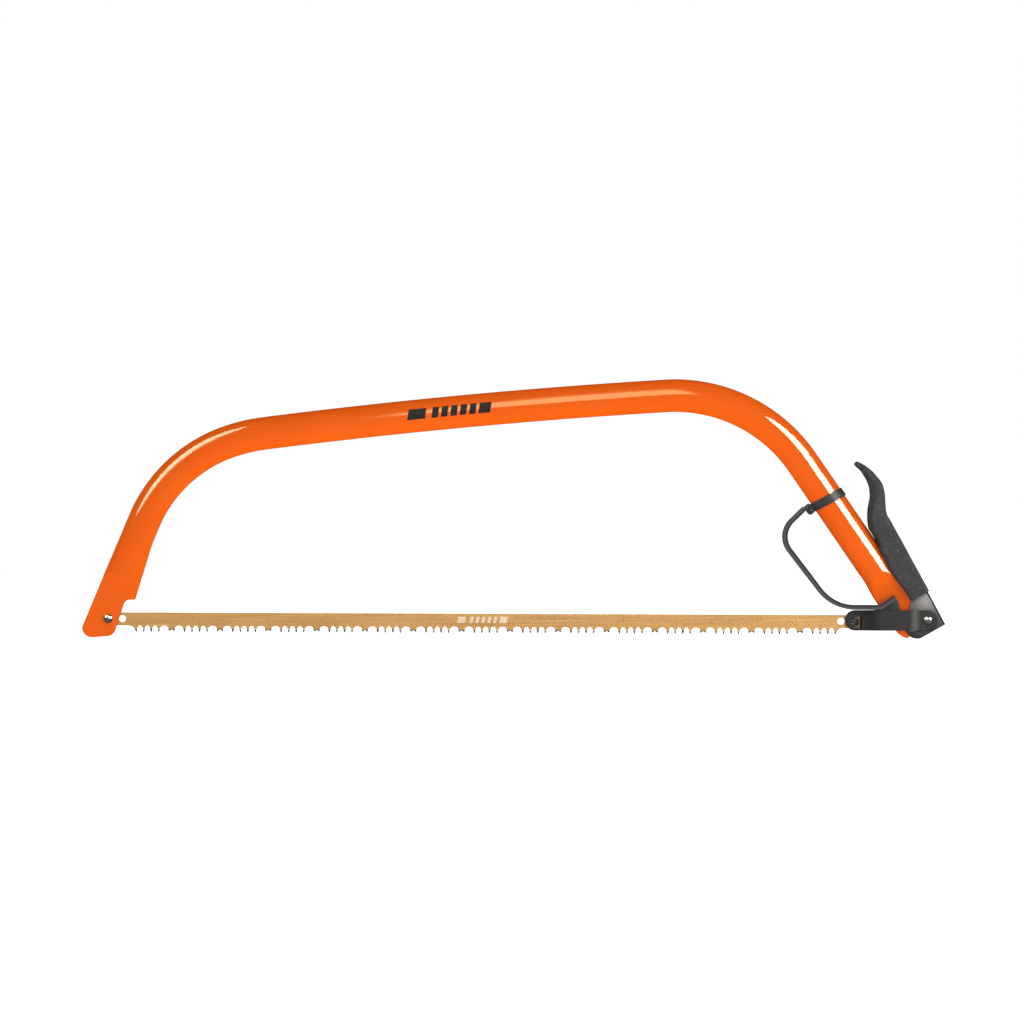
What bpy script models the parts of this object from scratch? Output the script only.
"""A bow saw: bent tube frame, toothed blade, toggle lever with a link, and a knuckle guard.

+X runs along the blade towards the lever, +Y is the saw's thickness and +Z is up. The origin is
the middle of the whole saw. Side-view points are (x, z) pairs in millimetres, and an outline's
third number is the radius that rounds that corner.
"""

import math

import bmesh
import bpy
from mathutils import Vector

MM = 0.001
GAP = 0.3  # between pieces that touch

# Pivots of the tension mechanism, in the side view
FRONT_PIN = (-409.5, -110.2)
BLADE_PIN = (343.3, -113.0)
LINK_RIVET = (418.1, -111.9)
LEVER_PIVOT = (401.4, -119.3)
GUARD_RIVET = (378.0, -109.5)

# Frame tube: a 1-1/8 inch round tube pressed oval, then pressed flat at both ends
TUBE_START = (-425.5, -137.6)
TUBE_HEADING = 67.4  # degrees above +X at the front end
# Straights are (length,), bends are (radius, angle in degrees)
TUBE_RUN = [(135.8,), (143.8, 48.75), (182.7, 11.4), (6070.0, 3.84), (156.1, 59.05), (205.5,)]
TUBE_WALL = 1.3
OVAL_HALF = (16.5, 12.0)  # half width in the side view, half thickness
FRONT_FLAT_HALF = (19.5, 2.6)
REAR_FLAT_HALF = (19.2, 4.0)
FRONT_FLAT_SHIFT = -2.6  # the flat's middle against the tube's, positive outwards
REAR_FLAT_SHIFT = 1.0
FLAT_LENGTH = 56.0  # from the front end
REAR_FLAT_LENGTH = 55.0
NECK_LENGTH = 26.0  # over which oval turns flat
FLARE_END = 116.0  # from the front end, where the tube starts to widen towards its flat
FLARE_LENGTH = 55.0
TUBE_SIDES = 20
FLAT_ROUNDNESS = 0.38  # 1 is an ellipse, 0 a rectangle

# Blade
BLADE_HALF_THICKNESS = 0.5
BLADE_TOP = 6.3  # above the line of its holes
GULLET_ROOF = -6.9
TOOTH_TIP = -13.3
RAKER_TIP = -12.6
BLADE_FRONT_END = -8.0  # along the blade from the front pin
BLADE_REAR_END = 759.6
BLADE_HOLE = 3.6
SPARE_HOLES = (14.3, 740.0)
REAR_HOLE_OFFSET = (1.54, -0.98)  # from the tension pin, so that the toggle can pass dead centre
FIRST_TOOTH = 28.3
TOOTH_PITCH = 7.6
TOOTH_HALF_WIDTH = 1.9
RAKER_GAP = 13.0  # from the fourth tooth to the raker's middle, and on to the next tooth
RAKER_HALF_WIDTH = 2.9
TOOTH_GROUPS = 14

# Tension link and lever, half thicknesses from the saw's middle plane
ARM_THICKNESS = 2.0
ARM_AT_BLADE = 0.8
ARM_OVER_RIVET = 8.9
ARM_AT_LEVER = 6.4
LEVER_INSIDE = 4.3
LEVER_OUTSIDE = 6.1
GRIP_HALF = 14.0  # over its flat sides
GROOVE_HALF = 10.3
GROOVE_CLEARANCE = 1.0
GROOVE_FRONT = 280.0
CHEEK_INSIDE = 4.3
CHEEK_OUTSIDE = 6.3
STRAP_HALF_WIDTH = 12.0
STRAP_THICKNESS = 4.7
COLLAR_FROM_END = 160.6  # along the tube from its rear end
COLLAR_HALF_LENGTH = 4.4
COLLAR_LEAN = 0.105  # how far it slips along the tube for each millimetre outwards
EAR_INSIDE = 2.9
EAR_OUTSIDE = 4.5
EAR_RADIUS = 3.0
SCREW_OUT = -21.5  # across the tube, from its middle

ORANGE = ("orange_enamel", (0.94, 0.14, 0.012), 0.28, 0.0)
GOLD = ("bronzed_blade_steel", (0.62, 0.36, 0.11), 0.38, 0.85)
BLACK_STEEL = ("black_steel", (0.045, 0.045, 0.047), 0.45, 0.2)
BRIGHT_STEEL = ("bright_steel", (0.55, 0.56, 0.58), 0.25, 1.0)
GREY_STEEL = ("grey_steel", (0.33, 0.33, 0.34), 0.4, 0.9)
GRIP_PLASTIC = ("grip_plastic", (0.04, 0.04, 0.042), 0.7, 0.0)
GUARD_PLASTIC = ("guard_plastic", (0.05, 0.05, 0.052), 0.5, 0.0)


def clear_scene():
    for item in list(bpy.data.objects):
        bpy.data.objects.remove(item, do_unlink=True)


def new_collection(name):
    collection = bpy.data.collections.new(name)
    bpy.context.scene.collection.children.link(collection)
    return collection


def material_of(look):
    name, colour, roughness, metallic = look
    material = bpy.data.materials.get(name)
    if material is None:
        material = bpy.data.materials.new(name)
        material.use_nodes = True
        shader = material.node_tree.nodes["Principled BSDF"]
        shader.inputs["Base Color"].default_value = (*colour, 1.0)
        shader.inputs["Roughness"].default_value = roughness
        shader.inputs["Metallic"].default_value = metallic
        material.diffuse_color = (*colour, 1.0)
    return material


def add_object(name, data, collection, look=None):
    item = bpy.data.objects.new(name, data)
    collection.objects.link(item)
    if look:
        data.materials.append(material_of(look))
    return item


def smooth(item):
    item.data.shade_smooth()
    item.data.set_sharp_from_angle(angle=math.radians(35))


def rounded(corners):
    """The closed outline through the corners, each rounded by an arc of its own radius."""
    points = []
    for index, corner in enumerate(corners):
        here = Vector(corner[:2])
        radius = corner[2] if len(corner) > 2 else 0.0
        if not radius:
            points.append(tuple(here))
            continue
        before = (Vector(corners[index - 1][:2]) - here).normalized()
        after = (Vector(corners[(index + 1) % len(corners)][:2]) - here).normalized()
        half = before.angle(after) / 2
        centre = here + (before + after).normalized() * radius / math.sin(half)
        first = here + before * radius / math.tan(half) - centre
        last = here + after * radius / math.tan(half) - centre
        turn = first.angle_signed(last)
        steps = max(2, math.ceil(abs(turn) / math.radians(15)))
        for step in range(steps + 1):
            angle = -turn * step / steps
            x = first.x * math.cos(angle) - first.y * math.sin(angle)
            z = first.x * math.sin(angle) + first.y * math.cos(angle)
            points.append((centre.x + x, centre.y + z))
    return points


def circle(centre, radius, sides=24):
    turns = [2 * math.pi * (k + 0.5) / sides for k in range(sides)]
    return [(centre[0] + radius * math.cos(a), centre[1] + radius * math.sin(a)) for a in turns]


def slab(name, loops, low, high, collection, look=None):
    """A flat outline in the side view, with any holes, between y = low and y = high."""
    curve = bpy.data.curves.new(name, "CURVE")
    curve.dimensions = "2D"
    curve.fill_mode = "BOTH"
    curve.extrude = (high - low) / 2 * MM
    for loop in loops:
        spline = curve.splines.new("POLY")
        spline.points.add(len(loop) - 1)
        for point, (x, z) in zip(spline.points, loop):
            point.co = (x * MM, z * MM, 0.0, 1.0)
        spline.use_cyclic_u = True
    shape = add_object(name + "_outline", curve, collection)
    shape.rotation_euler = (math.pi / 2, 0.0, 0.0)
    shape.location = (0.0, (low + high) / 2 * MM, 0.0)
    return mesh_from(shape, name, collection, look)


def mesh_from(shape, name, collection, look=None):
    """The curve as a closed mesh in a new object, with its caps welded to its sides."""
    bpy.context.view_layer.update()
    graph = bpy.context.evaluated_depsgraph_get()
    mesh = bpy.data.meshes.new_from_object(shape.evaluated_get(graph))
    work = bmesh.new()
    work.from_mesh(mesh)
    bmesh.ops.remove_doubles(work, verts=work.verts, dist=1e-6)
    bmesh.ops.recalc_face_normals(work, faces=work.faces)
    work.to_mesh(mesh)
    work.free()
    mesh.materials.clear()
    item = add_object(name, mesh, collection, look)
    item.matrix_world = shape.matrix_world.copy()
    bpy.data.objects.remove(shape, do_unlink=True)
    return item


def drum(name, centre, radius, low, high, collection, look=None, sides=24):
    """A cylinder along Y between y = low and y = high."""
    mesh = bpy.data.meshes.new(name)
    work = bmesh.new()
    bmesh.ops.create_cone(
        work, cap_ends=True, segments=sides, radius1=radius * MM, radius2=radius * MM,
        depth=(high - low) * MM,
    )
    work.to_mesh(mesh)
    work.free()
    item = add_object(name, mesh, collection, look)
    item.rotation_euler = (math.pi / 2, 0.0, 0.0)
    item.location = (centre[0] * MM, (low + high) / 2 * MM, centre[1] * MM)
    return item


def turned(name, centre, profile, look, steps=24):
    """A profile of (radius, -y) points, from the front of the saw to its back, turned about Y."""
    mesh = bpy.data.meshes.new(name)
    points = [(radius * MM, 0.0, height * MM) for radius, height in profile]
    mesh.from_pydata(points, [(k, k + 1) for k in range(len(points) - 1)], [])
    item = add_object(name, mesh, PARTS, look)
    item.rotation_euler = (math.pi / 2, 0.0, 0.0)
    item.location = (centre[0] * MM, 0.0, centre[1] * MM)
    screw = item.modifiers.new("turn", "SCREW")
    screw.axis = "Z"
    screw.steps = steps
    screw.render_steps = steps
    screw.use_merge_vertices = True
    screw.merge_threshold = 1e-5
    return item


def domed(rim, seat, edge, rise, steps=4):
    """Profile points of a domed head from its centre out to its rim and in to its seat."""
    arc = [math.pi / 2 * k / steps for k in range(steps + 1)]
    dome = [(rim * math.sin(a), seat + edge + rise * math.cos(a)) for a in arc]
    return [*dome, (rim, seat)]


def rivet_profile(shank, rim, seat, edge, rise):
    head = [*domed(rim, seat, edge, rise), (shank, seat)]
    return head + [(radius, -height) for radius, height in reversed(head)]


def boolean(item, other, operation="DIFFERENCE"):
    change = item.modifiers.new(operation.lower(), "BOOLEAN")
    change.operation = operation
    change.object = other
    change.solver = "EXACT"
    other.hide_render = True
    other.display_type = "WIRE"


def loft(name, rings, collection, look=None, ends=True):
    """A skin over rings of equal point counts, given in metres."""
    work = bmesh.new()
    rows = [[work.verts.new(point) for point in ring] for ring in rings]
    count = len(rows[0])
    for one, two in zip(rows, rows[1:]):
        for k in range(count):
            work.faces.new((one[k], one[(k + 1) % count], two[(k + 1) % count], two[k]))
    if ends:
        work.faces.new(rows[0])
        work.faces.new(rows[-1])
    bmesh.ops.recalc_face_normals(work, faces=work.faces)
    mesh = bpy.data.meshes.new(name)
    work.to_mesh(mesh)
    work.free()
    return add_object(name, mesh, collection, look)


# ---------------------------------------------------------------- frame


def tube_stations():
    """Points down the tube's middle: distance from the front end, place and heading."""
    x, z = TUBE_START
    heading = math.radians(TUBE_HEADING)
    distance = 0.0
    stations = [(distance, x, z, heading)]
    for piece in TUBE_RUN:
        if len(piece) == 1:
            length, turn = piece[0], 0.0
            steps = max(1, round(length / 4.5))
        else:
            turn = math.radians(piece[1])
            length = piece[0] * turn
            steps = max(6, round(piece[1] / 5.5))
        for _ in range(steps):
            middle = heading - turn / steps / 2
            x += math.cos(middle) * length / steps
            z += math.sin(middle) * length / steps
            heading -= turn / steps
            distance += length / steps
            stations.append((distance, x, z, heading))
    return stations


def ease(value):
    value = min(1.0, max(0.0, value))
    return value * value * (3 - 2 * value)


def tube_section(distance, total):
    """Half width, half thickness, shift and squareness of the tube at a distance along it."""
    if distance < total / 2:
        flat, shift = FRONT_FLAT_HALF, FRONT_FLAT_SHIFT
        pressed = 1 - ease((distance - FLAT_LENGTH) / NECK_LENGTH)
        spread = min(1.0, max(0.0, (FLARE_END - distance) / FLARE_LENGTH))
    else:
        flat, shift = REAR_FLAT_HALF, REAR_FLAT_SHIFT
        pressed = 1 - ease((total - distance - REAR_FLAT_LENGTH) / NECK_LENGTH)
        spread = pressed
    width = OVAL_HALF[0] + (flat[0] - OVAL_HALF[0]) * spread
    thickness = OVAL_HALF[1] + (flat[1] - OVAL_HALF[1]) * pressed
    return width, thickness, shift * spread, 1.0 - (1.0 - FLAT_ROUNDNESS) * pressed


def useful_stations():
    """Stations thinned out where the tube is straight and keeps its section."""
    stations = tube_stations()
    total = stations[-1][0]
    kept = [stations[0]]
    for before, here, after in zip(stations, stations[1:], stations[2:]):
        turning = abs(after[3] - before[3]) > 1e-6
        squeezing = tube_section(before[0], total) != tube_section(after[0], total)
        if turning or squeezing:
            kept.append(here)
    kept.append(stations[-1])
    return kept, total


def tube_point(station, out, across=0.0):
    """A point beside the tube's middle, out from it in the side view and across it along Y."""
    _, x, z, heading = station
    return (x - math.sin(heading) * out, across, z + math.cos(heading) * out)


def tube_rings():
    stations, total = useful_stations()
    rings = []
    for station in stations:
        width, thickness, shift, power = tube_section(station[0], total)
        ring = []
        for k in range(TUBE_SIDES):
            angle = 2 * math.pi * k / TUBE_SIDES
            rise = math.copysign(abs(math.sin(angle)) ** power, math.sin(angle))
            if abs(math.sin(angle)) < 1e-9:
                rise = 0.0
            point = tube_point(station, shift + width * math.cos(angle), thickness * rise)
            ring.append(tuple(value * MM for value in point))
        rings.append(ring)
    return rings


def at_pivot(pivot, corners):
    return [(pivot[0] + c[0], pivot[1] + c[1], c[2] if len(c) > 2 else 0.0) for c in corners]


def make_frame_tube():
    tube = loft("frame_tube", tube_rings(), PARTS, ORANGE, ends=False)
    wall = tube.modifiers.new("wall", "SOLIDIFY")
    wall.thickness = TUBE_WALL * MM
    wall.offset = -1.0
    wall.use_even_offset = True
    # What is trimmed off the front nose: below and behind its outline, and the notch over the blade
    nose = at_pivot(FRONT_PIN, [
        (-52, 33.3), (-10.3, 33.3), (-31.5, -19.9, 10), (5.2, -17.4, 9), (17.2, 19.0, 6.5),
        (45, 19.0), (45, -40), (-52, -40),
    ])
    # What is trimmed off the rear end, round the lever's pivot
    heel = at_pivot(LEVER_PIVOT, [
        (-61.9, 27.3), (-5.4, -11.4, 16), (10.8, -11.4, 11), (10.8, 27.3), (45, 27.3),
        (45, -35), (-61.9, -35),
    ])
    boolean(tube, slab("nose_trim", [rounded(nose)], -20, 20, CUTTERS))
    boolean(tube, slab("heel_trim", [rounded(heel)], -20, 20, CUTTERS))
    boolean(tube, drum("front_pin_hole", FRONT_PIN, 3.4, -20, 20, CUTTERS))
    boolean(tube, drum("bush_hole", LEVER_PIVOT, 4.8, -20, 20, CUTTERS))
    boolean(tube, drum("guard_rivet_hole", GUARD_RIVET, 2.2, -20, 20, CUTTERS))
    smooth(tube)
    return tube


def make_front_pin():
    profile = rivet_profile(3.2, 4.7, FRONT_FLAT_HALF[1] + GAP, 0.4, 2.6)
    return turned("front_blade_pin", FRONT_PIN, profile, BRIGHT_STEEL)


def make_pivot_bush():
    outer, inner, end = 4.6, 3.2, REAR_FLAT_HALF[1] - 0.1
    loops = [circle(LEVER_PIVOT, outer), circle(LEVER_PIVOT, inner)]
    bush = slab("pivot_bush", loops, -end, end, PARTS, BRIGHT_STEEL)
    smooth(bush)
    return bush


# ---------------------------------------------------------------- blade


def blade_outline():
    """The blade's edge, along the blade and up from the line of its holes."""
    points = [(BLADE_FRONT_END, BLADE_TOP), (BLADE_FRONT_END, GULLET_ROOF)]
    points.append((FIRST_TOOTH - 7.0, GULLET_ROOF))
    points.append((FIRST_TOOTH - 4.2, GULLET_ROOF - 1.0))
    group = 3 * TOOTH_PITCH + 2 * RAKER_GAP
    for number in range(TOOTH_GROUPS + 1):
        start = FIRST_TOOTH + number * group
        for tooth in range(4):
            tip = start + tooth * TOOTH_PITCH
            points += peg_tooth(tip)
            if tooth < 3:
                points += gullet(tip + TOOTH_HALF_WIDTH, tip + TOOTH_PITCH - TOOTH_HALF_WIDTH)
        if number < TOOTH_GROUPS:
            raker = start + 3 * TOOTH_PITCH + RAKER_GAP
            following = start + group
            points += gullet(raker - RAKER_GAP + TOOTH_HALF_WIDTH, raker - RAKER_HALF_WIDTH)
            points += raker_tooth(raker)
            points += gullet(raker + RAKER_HALF_WIDTH, following - TOOTH_HALF_WIDTH)
    points.append((tip + 4.2, GULLET_ROOF - 1.0))
    points.append((tip + 7.0, GULLET_ROOF))
    points += [(BLADE_REAR_END, GULLET_ROOF), (BLADE_REAR_END, BLADE_TOP)]
    return points


def peg_tooth(tip):
    shoulder = GULLET_ROOF - 3.0
    return [
        (tip - TOOTH_HALF_WIDTH, shoulder), (tip, TOOTH_TIP), (tip + TOOTH_HALF_WIDTH, shoulder),
    ]


def raker_tooth(middle):
    shoulder = GULLET_ROOF - 2.6
    notch = RAKER_TIP + 1.8
    return [
        (middle - RAKER_HALF_WIDTH - 0.5, shoulder), (middle - RAKER_HALF_WIDTH, RAKER_TIP),
        (middle, notch), (middle + RAKER_HALF_WIDTH, RAKER_TIP),
        (middle + RAKER_HALF_WIDTH + 0.5, shoulder),
    ]


def gullet(start, end):
    """A round arch between two teeth, without its ends."""
    middle, half = (start + end) / 2, (end - start) / 2
    steps = 4 if half < 3 else 6
    depth = 2.9
    arch = []
    for step in range(1, steps):
        angle = math.pi * step / steps
        arch.append((middle - half * math.cos(angle), GULLET_ROOF - depth * (1 - math.sin(angle))))
    return arch


def blade_to_side(along, up):
    """From the blade's own directions to the side view."""
    slope = math.atan2(BLADE_PIN[1] - FRONT_PIN[1], BLADE_PIN[0] - FRONT_PIN[0])
    x = FRONT_PIN[0] + along * math.cos(slope) - up * math.sin(slope)
    z = FRONT_PIN[1] + along * math.sin(slope) + up * math.cos(slope)
    return x, z


def make_blade():
    rear_hole = (BLADE_PIN[0] + REAR_HOLE_OFFSET[0], BLADE_PIN[1] + REAR_HOLE_OFFSET[1])
    loops = [[blade_to_side(*point) for point in blade_outline()]]
    loops += [circle(FRONT_PIN, BLADE_HOLE), circle(rear_hole, BLADE_HOLE)]
    loops += [circle(blade_to_side(along, 0.0), BLADE_HOLE) for along in SPARE_HOLES]
    return slab("blade", loops, -BLADE_HALF_THICKNESS, BLADE_HALF_THICKNESS, PARTS, GOLD)


# ---------------------------------------------------------------- link


ARM_ENDS = (334.6, 428.0)
ARM_EDGES = (-122.3, -101.8)
WINDOW = (344.0, 351.4, -121.2, -107.2)
WIDENING = (352.0, 368.2)  # where the arms spread to clear the frame
NARROWING = (406.8, 413.9)  # where they close on the lever


def arm_band():
    """The front arm from above as (x, distance from the middle plane), inner line then outer."""
    line = [
        (ARM_ENDS[0] - 5, ARM_AT_BLADE), (WIDENING[0], ARM_AT_BLADE), (WIDENING[1], ARM_OVER_RIVET),
        (NARROWING[0], ARM_OVER_RIVET), (NARROWING[1], ARM_AT_LEVER), (ARM_ENDS[1] + 5, ARM_AT_LEVER),
    ]
    outer = []
    for index, (x, y) in enumerate(line):
        before = line[max(index - 1, 0)]
        after = line[min(index + 1, len(line) - 1)]
        slant = (after[0] - before[0], after[1] - before[1])
        first = math.atan2(y - before[1], x - before[0]) if index else 0.0
        second = math.atan2(after[1] - y, after[0] - x) if index < len(line) - 1 else 0.0
        lean = (first + second) / 2
        reach = ARM_THICKNESS / math.cos((first - second) / 2)
        outer.append((x - math.sin(lean) * reach, y + math.cos(lean) * reach))
    bends = [(x, y, 1.5) if 0 < k < 5 else (x, y) for k, (x, y) in enumerate(line)]
    outer = [(x, y, 3.0) if 0 < k < 5 else (x, y) for k, (x, y) in enumerate(outer)]
    return rounded(bends + outer[::-1])


def make_link_arm(name, side):
    """One bent strap of the link; side is -1 at the front of the saw, which has the window."""
    curve = bpy.data.curves.new(name, "CURVE")
    curve.dimensions = "2D"
    curve.fill_mode = "BOTH"
    curve.extrude = (ARM_EDGES[1] - ARM_EDGES[0]) * MM
    band = arm_band()
    spline = curve.splines.new("POLY")
    spline.points.add(len(band) - 1)
    for point, (x, y) in zip(spline.points, band):
        point.co = (x * MM, side * y * MM, 0.0, 1.0)
    spline.use_cyclic_u = True
    shape = add_object(name + "_band", curve, PARTS)
    shape.location = (0.0, 0.0, (ARM_EDGES[0] + ARM_EDGES[1]) / 2 * MM)
    arm = mesh_from(shape, name, PARTS, BLACK_STEEL)
    boolean(arm, CUTS["arm_outline"], "INTERSECT")
    if side < 0:
        boolean(arm, CUTS["arm_window"])
    boolean(arm, CUTS["arm_pin_hole"])
    boolean(arm, CUTS["arm_rivet_hole"])
    smooth(arm)
    return arm


def make_arm_cutters():
    left, right = ARM_ENDS
    low, high = ARM_EDGES
    outline = [(left, low, 9.9), (right, low, 9.9), (right, high, 9.9), (left, high, 9.9)]
    x0, x1, z0, z1 = WINDOW
    window = [(x0, z0, 1.0), (x1, z0, 1.0), (x1, z1, 2.0), (x0, z1, 2.0)]
    return {
        "arm_outline": slab("arm_outline", [rounded(outline)], -16, 16, CUTTERS),
        "arm_window": slab("arm_window", [rounded(window)], -16, 16, CUTTERS),
        "arm_pin_hole": drum("arm_pin_hole", BLADE_PIN, 2.9, -16, 16, CUTTERS),
        "arm_rivet_hole": drum("arm_rivet_hole", LINK_RIVET, 2.7, -16, 16, CUTTERS),
    }


def make_blade_pin():
    """Stout in the arms and thin between them, where the blade hangs on it with play."""
    end, shoulder = ARM_AT_BLADE + ARM_THICKNESS + 0.1, ARM_AT_BLADE + 0.05
    half = [(0.0, end), (2.3, end), (2.7, end - 0.4), (2.7, shoulder), (1.6, shoulder)]
    profile = half + [(radius, -height) for radius, height in reversed(half)]
    return turned("blade_pin", BLADE_PIN, profile, BLACK_STEEL)


def make_link_rivet():
    seat = ARM_AT_LEVER + ARM_THICKNESS + GAP
    return turned("link_rivet", LINK_RIVET, rivet_profile(2.5, 4.6, seat, 0.5, 2.0), BRIGHT_STEEL)


# ---------------------------------------------------------------- lever


# The channel's side: tang inside the grip, shoulder, back edge, foot, nose and front edge
CHANNEL = [
    (377.8, -43.5, 2), (389.1, -33.9, 2), (415.4, -84.9), (418.2, -83.4), (435.6, -116.0, 0.6),
    (389.8, -141.9, 10.1), (400.7, -94.0, 3), (404.6, -81.9, 2),
]
# Its hollow, which leaves the web along the back
CHANNEL_HOLLOW = [
    (380.6, -21.4), (414.6, -87.3), (417.9, -86.7), (438.7, -125.7), (438.7, -150), (360, -150),
    (360, -21.4),
]
TANG_POCKET = [
    (377.2, -43.6), (389.2, -33.3), (416.0, -84.7), (419.5, -92), (398, -98), (404, -82),
]
# The grip from its foot to the tip of its horn: front edge, back edge, half thickness
GRIP_STATIONS = [
    ((400.3, -92.9), (418.9, -82.1), GRIP_HALF),
    ((394.4, -82.9), (413.8, -72.8), GRIP_HALF),
    ((385.7, -71.6), (407.4, -61.5), GRIP_HALF),
    ((378.9, -61.7), (402.2, -52.1), GRIP_HALF),
    ((374.3, -51.6), (397.2, -42.7), GRIP_HALF),
    ((370.0, -43.5), (391.6, -32.4), GRIP_HALF),
    ((365.4, -31.4), (386.0, -22.3), GRIP_HALF),
    ((359.4, -21.3), (381.5, -14.0), GRIP_HALF),
    ((357.7, -13.2), (378.6, -9.0), 13.2),
    ((357.3, -7.2), (376.7, -5.7), 12.4),
    ((357.4, -1.1), (375.6, -1.1), 11.6),
    ((358.1, 3.9), (375.2, 4.1), 10.9),
    ((359.3, 10.3), (374.8, 11.0), 10.0),
    ((359.6, 15.0), (374.4, 16.5), 9.4),
    ((359.2, 20.1), (373.2, 22.0), 8.8),
    ((358.3, 24.1), (371.2, 27.4), 8.1),
    ((356.2, 29.4), (366.6, 33.3), 7.2),
    ((353.3, 34.4), (362.0, 38.6), 6.4),
    ((350.0, 39.2), (355.9, 43.5), 5.5),
    ((346.6, 42.3), (351.1, 46.5), 4.6),
    ((344.0, 44.7), (346.5, 48.8), 3.6),
]


def rounded_ring(front, back, half, front_radius, back_radius):
    """A rounded rectangle between two side-view points, in metres, with five points a corner."""
    start, end = Vector(front), Vector(back)
    width = (end - start).length
    direction = (end - start) / width
    ring = []
    # Each corner's radius, its middle along the width, its side and the direction it starts in
    corners = [
        (front_radius, front_radius, -1, 1.5), (front_radius, front_radius, 1, 1.0),
        (back_radius, width - back_radius, 1, 0.5), (back_radius, width - back_radius, -1, 0.0),
    ]
    for radius, middle, side, start_turn in corners:
        for step in range(5):
            angle = math.pi * start_turn - math.pi / 2 * step / 4
            along = middle + radius * math.cos(angle)
            y = side * (half - radius) + radius * math.sin(angle)
            place = start + direction * along
            ring.append((place.x * MM, y * MM, place.y * MM))
    return ring


def grip_rings():
    rings = []
    for front, back, half in GRIP_STATIONS:
        width = (Vector(back) - Vector(front)).length
        soft = min(1.0, max(0.0, (GRIP_HALF - half) / 4.0))
        front_radius = min(1.5 + soft * 5.0, half * 0.9, width * 0.49)
        back_radius = min(3.5, half * 0.8, width * 0.49)
        rings.append(rounded_ring(front, back, half, front_radius, back_radius))
    return rings


def groove_outline():
    """The slot in the grip that takes the tube's outer edge when the lever is shut."""
    stations, total = useful_stations()
    floor = []
    for station in stations:
        if station[0] > total - TUBE_RUN[-1][0] - 1:
            width, _, shift, _ = tube_section(station[0], total)
            x, _, z = tube_point(station, shift + width + GROOVE_CLEARANCE)
            floor.append((x, z))
    return floor + [(GROOVE_FRONT, floor[-1][1]), (GROOVE_FRONT, floor[0][1])]


def make_grip():
    grip = loft("lever_grip", grip_rings(), PARTS, GRIP_PLASTIC)
    boolean(grip, slab("grip_groove", [groove_outline()], -GROOVE_HALF, GROOVE_HALF, CUTTERS))
    pocket = LEVER_OUTSIDE + GAP
    boolean(grip, slab("tang_pocket", [TANG_POCKET], -pocket, pocket, CUTTERS))
    smooth(grip)
    return grip


def make_channel():
    steel = slab("lever_channel", [rounded(CHANNEL)], -LEVER_OUTSIDE, LEVER_OUTSIDE, PARTS, GREY_STEEL)
    hollow = slab("channel_hollow", [CHANNEL_HOLLOW], -LEVER_INSIDE, LEVER_INSIDE, CUTTERS)
    boolean(steel, hollow)
    boolean(steel, drum("pivot_hole", LEVER_PIVOT, 3.2, -12, 12, CUTTERS))
    boolean(steel, drum("link_hole", LINK_RIVET, 2.7, -12, 12, CUTTERS))
    smooth(steel)
    return steel


def make_pivot_rivet():
    profile = rivet_profile(3.0, 5.2, LEVER_OUTSIDE + GAP, 0.6, 1.5)
    return turned("pivot_rivet", LEVER_PIVOT, profile, BRIGHT_STEEL)


def make_link_spacer():
    end = LEVER_INSIDE - GAP
    loops = [circle(LINK_RIVET, 4.0), circle(LINK_RIVET, 2.7)]
    spacer = slab("link_spacer", loops, -end, end, PARTS, BRIGHT_STEEL)
    smooth(spacer)
    return spacer


# ---------------------------------------------------------------- guard


# Middle line of the guard's strap, from below the collar to the frame's rear end
STRAP_LINE = [(293.4, 0.8), (266.5, -25.3, 22.4), (322.6, -98.9, 45), (363.4, -98.9)]
RIM_LINE = [(358.0, -98.9), (370.0, -98.9, 4), (384.9, -88.7)]
# The tongue between the collar's ears: along the strap, round the screw and up beside the tube
TONGUE = [
    (288.5, -7.0), (295.2, -1.3), (297.0, -4.0, 1), (299.5, -5.6, 2), (302.4, -3.4, 1), (302.4, 0.5),
    (299.9, 5.0, 1), (297.4, 6.2, 1), (290.5, 0.3),
]


def strap_outline(line, thickness):
    """Both sides of a line that is rounded at its inner corners."""
    inner = rounded_open(line)
    left, right = [], []
    for index, point in enumerate(inner):
        before = Vector(inner[max(index - 1, 0)])
        after = Vector(inner[min(index + 1, len(inner) - 1)])
        run = (after - before).normalized()
        side = Vector((-run.y, run.x)) * thickness / 2
        left.append(tuple(Vector(point) + side))
        right.append(tuple(Vector(point) - side))
    return left + right[::-1]


def rounded_open(line):
    """The open line with its inner corners rounded."""
    far = Vector(line[-1][:2]) + Vector((0.0, 400.0))
    return rounded([*line, tuple(far)])[:-1]


def collar_station():
    """The tube's middle under the collar, which sits on the straight rear leg."""
    total, x, z, heading = tube_stations()[-1]
    x -= math.cos(heading) * COLLAR_FROM_END
    z -= math.sin(heading) * COLLAR_FROM_END
    return total - COLLAR_FROM_END, x, z, heading


def beside_collar(out, along):
    """A side-view point out from the tube's middle and along it, measured from the collar."""
    station = collar_station()
    x, _, z = tube_point(station, out)
    heading = station[3]
    return x + math.cos(heading) * along, z + math.sin(heading) * along


def ear_outline():
    """A tab that stands off the tube's inner side, as wide as the band and round at its end."""
    screw = beside_collar(SCREW_OUT, 0.0)
    arc = []
    steps = 10
    heading = collar_station()[3]
    for step in range(steps + 1):
        angle = heading - math.pi * step / steps
        arc.append((
            screw[0] + EAR_RADIUS * math.cos(angle), screw[1] + EAR_RADIUS * math.sin(angle),
        ))
    root = -OVAL_HALF[0] - 0.8
    slip = COLLAR_LEAN * root
    half = COLLAR_HALF_LENGTH - 0.2
    return arc + [beside_collar(root, slip - half), beside_collar(root, slip + half)]


def ellipse(half_x, half_y, sides=36):
    turns = [2 * math.pi * k / sides for k in range(sides)]
    return [(half_x * math.cos(a), half_y * math.sin(a)) for a in turns]


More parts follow.
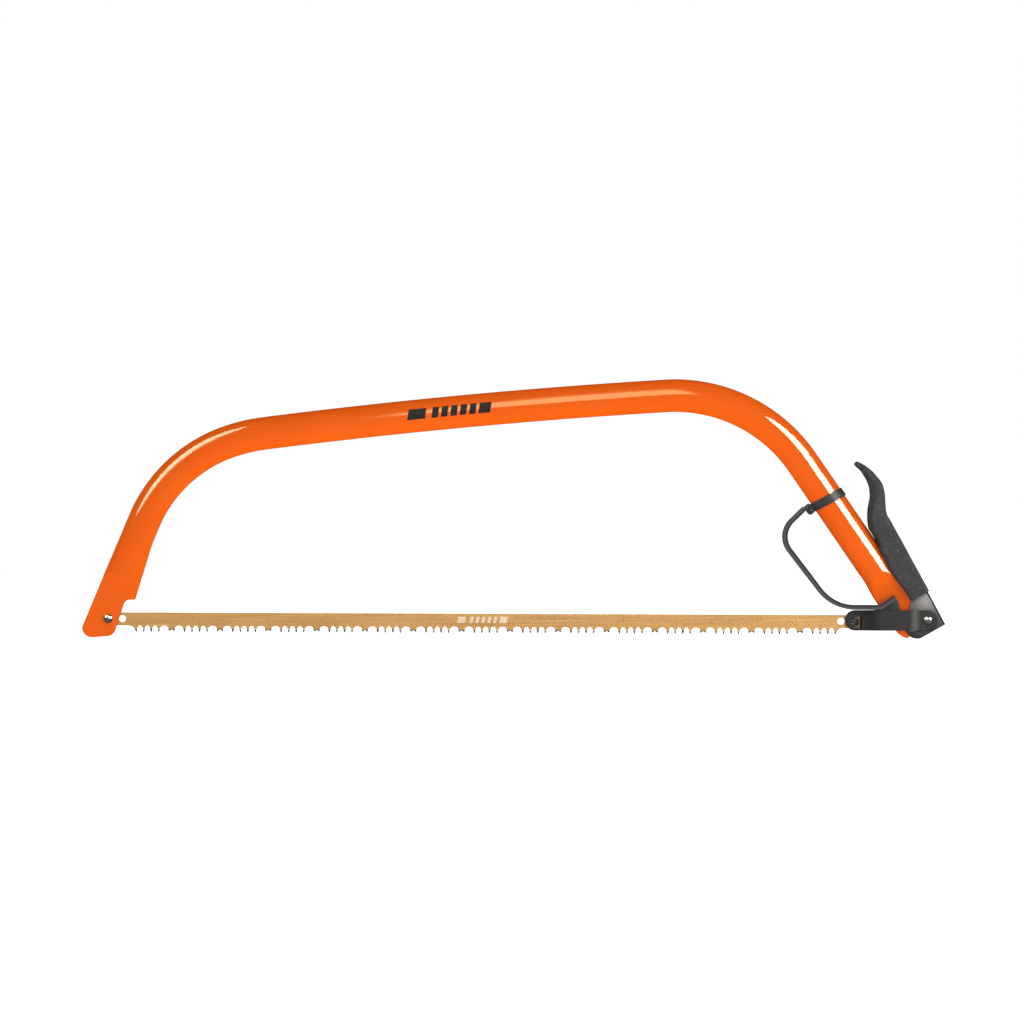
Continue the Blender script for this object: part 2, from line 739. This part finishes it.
def make_collar():
    """A band round the tube with two ears that hold the guard's tongue."""
    station = collar_station()
    curve = bpy.data.curves.new("guard_collar", "CURVE")
    curve.dimensions = "2D"
    curve.fill_mode = "BOTH"
    curve.extrude = COLLAR_HALF_LENGTH * MM
    for extra in (1.5, GAP):
        loop = ellipse(OVAL_HALF[0] + extra, OVAL_HALF[1] + extra)
        spline = curve.splines.new("POLY")
        spline.points.add(len(loop) - 1)
        for point, (u, v) in zip(spline.points, loop):
            point.co = (u * MM, v * MM, 0.0, 1.0)
        spline.use_cyclic_u = True
    shape = add_object("collar_band", curve, PARTS)
    shape.rotation_euler = (0.0, -station[3] - math.pi / 2, 0.0)
    x, _, z = tube_point(station, 0.0)
    shape.location = (x * MM, 0.0, z * MM)
    collar = mesh_from(shape, "guard_collar", PARTS, BLACK_STEEL)
    for vert in collar.data.vertices:
        vert.co.z -= COLLAR_LEAN * vert.co.x
    for side, name in ((-1, "front_ear"), (1, "back_ear")):
        low, high = sorted((side * EAR_INSIDE, side * EAR_OUTSIDE))
        boolean(collar, slab(name, [ear_outline()], low, high, CUTTERS), "UNION")
    opening = [
        beside_collar(-10, -9), beside_collar(-10, 8), beside_collar(-30, 8), beside_collar(-30, -9),
    ]
    boolean(collar, slab("collar_opening", [opening], -EAR_INSIDE, EAR_INSIDE, CUTTERS))
    boolean(collar, drum("ear_hole", beside_collar(SCREW_OUT, 0.0), 1.7, -9, 9, CUTTERS))
    smooth(collar)
    return collar


def make_guard():
    """The strap, the tongue that the collar holds, and the two cheeks on the frame's rear end."""
    strap = strap_outline(STRAP_LINE, STRAP_THICKNESS)
    guard = slab("guard_strap", [strap], -STRAP_HALF_WIDTH, STRAP_HALF_WIDTH, PARTS, GUARD_PLASTIC)
    tongue_half = EAR_INSIDE - GAP
    tongue = slab("tongue", [rounded(TONGUE)], -tongue_half, tongue_half, CUTTERS)
    boolean(guard, tongue, "UNION")
    screw = beside_collar(SCREW_OUT, 0.0)
    cheek_corners = [
        (360.0, -98.0), (370.0, -97.8), (383.6, -88.8), (387.2, -91.2, 3), (391.0, -103.5, 16),
        (386.0, -120.0, 6), (368.5, -120.0, 4), (367.8, -101.8, 1), (360.0, -101.0),
    ]
    for side, name in ((-1, "front"), (1, "back")):
        low, high = sorted((side * CHEEK_INSIDE, side * CHEEK_OUTSIDE))
        cheek = slab(name + "_cheek", [rounded(cheek_corners)], low, high, CUTTERS)
        boolean(guard, cheek, "UNION")
        low, high = sorted((side * (CHEEK_INSIDE + 0.1), side * (STRAP_HALF_WIDTH - 0.5)))
        rim = slab(name + "_rim", [strap_outline(RIM_LINE, STRAP_THICKNESS - 0.3)], low, high, CUTTERS)
        boolean(guard, rim, "UNION")
    boolean(guard, drum("tongue_hole", screw, 1.7, -9, 9, CUTTERS))
    boolean(guard, drum("cheek_hole", GUARD_RIVET, 2.2, -20, 20, CUTTERS))
    smooth(guard)
    return guard


def make_guard_screw():
    seat = EAR_OUTSIDE + GAP
    profile = [
        *domed(2.6, seat, 1.1, 0.6), (1.5, seat), (1.5, -seat - 3.0), (0.0, -seat - 3.0),
    ]
    return turned("guard_screw", beside_collar(SCREW_OUT, 0.0), profile, BLACK_STEEL, steps=16)


def make_guard_nut():
    screw = beside_collar(SCREW_OUT, 0.0)
    low, high = EAR_OUTSIDE + GAP, EAR_OUTSIDE + GAP + 2.4
    loops = [circle(screw, 3.1, 6), circle(screw, 1.7, 16)]
    return slab("guard_nut", loops, low, high, PARTS, BLACK_STEEL)


def make_guard_rivet():
    profile = rivet_profile(2.0, 3.6, CHEEK_OUTSIDE + GAP, 0.4, 0.9)
    return turned("guard_rivet", GUARD_RIVET, profile, BRIGHT_STEEL)


# ---------------------------------------------------------------- assembly


def make_axis(name, pivot, parent=None):
    """An empty on a joint's axis, which its pieces hang from."""
    axis = bpy.data.objects.new(name, None)
    bpy.context.scene.collection.objects.link(axis)
    axis.location = (pivot[0] * MM, 0.0, pivot[1] * MM)
    axis.empty_display_size = 0.01
    bpy.context.view_layer.update()
    if parent:
        hang(axis, parent)
    return axis


def hang(item, parent):
    bpy.context.view_layer.update()
    item.parent = parent
    item.matrix_parent_inverse = parent.matrix_world.inverted()


clear_scene()
PARTS = new_collection("bow_saw")
CUTTERS = new_collection("bow_saw_cutters")
CUTS = make_arm_cutters()

make_frame_tube()
make_front_pin()
make_pivot_bush()
make_guard()
make_collar()
make_guard_screw()
make_guard_nut()
make_guard_rivet()

lever_axis = make_axis("lever_axis", LEVER_PIVOT)
link_axis = make_axis("link_axis", LINK_RIVET, lever_axis)
blade_axis = make_axis("blade_axis", FRONT_PIN)

for piece in (make_channel(), make_grip(), make_pivot_rivet(), make_link_spacer()):
    hang(piece, lever_axis)
arms = (make_link_arm("link_arm_front", -1), make_link_arm("link_arm_rear", 1))
for piece in (*arms, make_link_rivet(), make_blade_pin()):
    hang(piece, link_axis)
hang(make_blade(), blade_axis)
CUTTERS.hide_render = True
bpy.context.view_layer.update()
